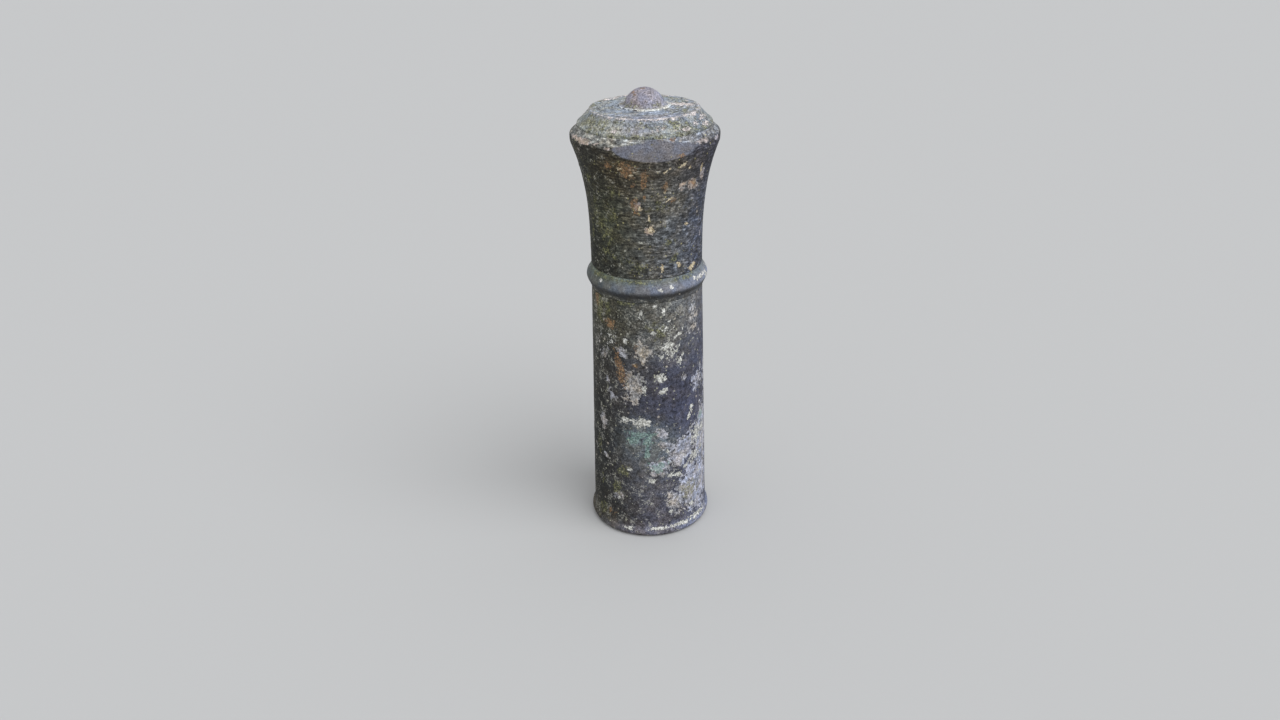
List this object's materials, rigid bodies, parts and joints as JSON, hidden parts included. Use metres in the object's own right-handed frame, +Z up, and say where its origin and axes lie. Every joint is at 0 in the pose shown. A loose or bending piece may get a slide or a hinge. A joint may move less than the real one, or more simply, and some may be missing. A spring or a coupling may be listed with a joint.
{
  "type": "street bollard",
  "caption": "Cannon-pattern cast-iron street bollard: tapered hollow shaft with a foot bead, beaded collar, flared head, sloping cap and domed finial, clamped to a base plate.",
  "frame": {"origin": "centre of the base plate's underside, on the ground", "axes": "+Z up along the bollard's axis; the worn flat at the front of the rim faces -Y, eight degrees towards +X"},
  "size_m": [0.3, 0.2959, 0.9749],
  "materials": {
    "shaft_iron": "dark navy paint over cast iron, flaking to pale grey and buff, green growth low down",
    "collar_iron": "smooth blue-grey worn paint with a few chips",
    "head_iron": "olive-black weathered paint with moss and rust, worn pale flat at the front of the rim",
    "cap_iron": "grey-green worn paint with pale specks",
    "finial_iron": "pitted grey-lilac iron with a rust bloom",
    "plate_iron": "bare cast iron under old black paint",
    "rod_steel": "dull oiled bar with cut threads",
    "nut_steel": "dull plated steel",
    "pin_steel": "ground steel",
    "joint_packing": "matt black jointing",
    "soft_washer": "dull soft grey metal"
  },
  "bodies": {
    "root": {"base_plate": "plate_iron", "foot_packing": "joint_packing", "foot_dowels": "pin_steel", "lower_shaft": "shaft_iron", "tie_rod": "rod_steel", "rod_lock_washer": "nut_steel", "rod_lock_nut": "nut_steel", "lower_packing": "joint_packing", "lower_joint_dowels": "pin_steel", "collar_ring": "collar_iron", "rod_guide": "plate_iron", "rod_guide_screws": "nut_steel", "upper_packing": "joint_packing", "upper_joint_dowels": "pin_steel", "head": "head_iron", "cap_packing": "joint_packing", "cap": "cap_iron", "clamp_washer": "nut_steel", "clamp_nut": "nut_steel", "finial_washer": "soft_washer", "finial": "finial_iron"}
  },
  "joints": []
}
